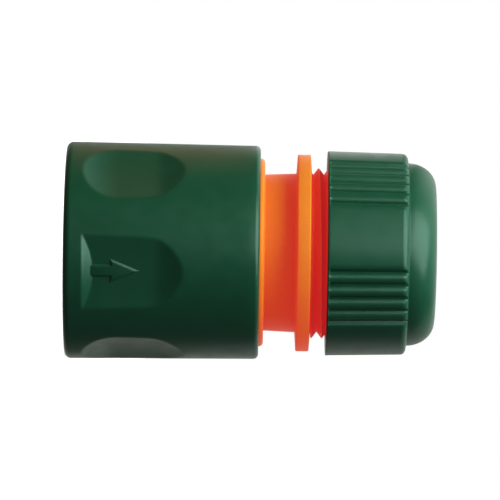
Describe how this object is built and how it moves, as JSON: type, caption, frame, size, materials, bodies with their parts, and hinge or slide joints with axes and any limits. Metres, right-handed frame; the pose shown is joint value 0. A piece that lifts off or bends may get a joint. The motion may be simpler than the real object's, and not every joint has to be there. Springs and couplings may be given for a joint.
{
  "type": "hose connector",
  "caption": "Click-on garden hose connector: scooped sliding release sleeve, flanged threaded body with barbed spigot, ribbed domed clamp nut",
  "frame": {"origin": "centre of the release sleeve's front edge, on which the part stands", "axes": "+Z along the water way, from the nipple socket to the hose end; -Y through the direction arrow"},
  "size_m": [0.0334, 0.0334, 0.0566],
  "materials": {
    "green_plastic": "semi-gloss moulded",
    "orange_plastic": "semi-gloss moulded",
    "white_acetal": "satin moulded",
    "spring_wire": "drawn wire"
  },
  "bodies": {
    "body": {"main_body": "orange_plastic", "front_ring": "orange_plastic", "return_spring": "spring_wire"},
    "sleeve": {"release_sleeve": "green_plastic"},
    "claw_1": {"locking_claw_1": "white_acetal"},
    "claw_2": {"locking_claw_2": "white_acetal"},
    "claw_3": {"locking_claw_3": "white_acetal"},
    "claw_4": {"locking_claw_4": "white_acetal"},
    "collet": {"grip_collet": "orange_plastic"},
    "nut": {"clamp_nut": "green_plastic"}
  },
  "joints": [
    {"name": "sleeve_slide", "type": "slide", "parent": "body", "child": "sleeve", "axis": [0, 0, 1], "range_m": [0, 0.005], "stiffness_N_per_m": 800, "springref_m": -0.006, "deforming": ["return_spring"]},
    {"name": "claw_1_lift", "type": "slide", "parent": "body", "child": "claw_1", "axis": [0.7071, 0.7071, 0], "range_m": [0, 0.0011]},
    {"name": "claw_2_lift", "type": "slide", "parent": "body", "child": "claw_2", "axis": [-0.7071, 0.7071, 0], "range_m": [0, 0.0011]},
    {"name": "claw_3_lift", "type": "slide", "parent": "body", "child": "claw_3", "axis": [-0.7071, -0.7071, 0], "range_m": [0, 0.0011]},
    {"name": "claw_4_lift", "type": "slide", "parent": "body", "child": "claw_4", "axis": [0.7071, -0.7071, 0], "range_m": [0, 0.0011]},
    {"name": "nut_travel", "type": "slide", "parent": "body", "child": "collet", "axis": [0, 0, 1], "range_m": [-0.00238, 0.0048]},
    {"name": "nut_turn", "type": "hinge", "parent": "collet", "child": "nut", "pos_m": [0, 0, 0.0461], "axis": [0, 0, 1], "range_deg": [-535, 1079]}
  ],
  "couplings": [
    {"joint": "claw_1_lift", "follows": "sleeve_slide", "ratio": 0.22},
    {"joint": "claw_2_lift", "follows": "sleeve_slide", "ratio": 0.22},
    {"joint": "claw_3_lift", "follows": "sleeve_slide", "ratio": 0.22},
    {"joint": "claw_4_lift", "follows": "sleeve_slide", "ratio": 0.22},
    {"joint": "nut_travel", "follows": "nut_turn", "m_per_rad": 0.00025465}
  ]
}
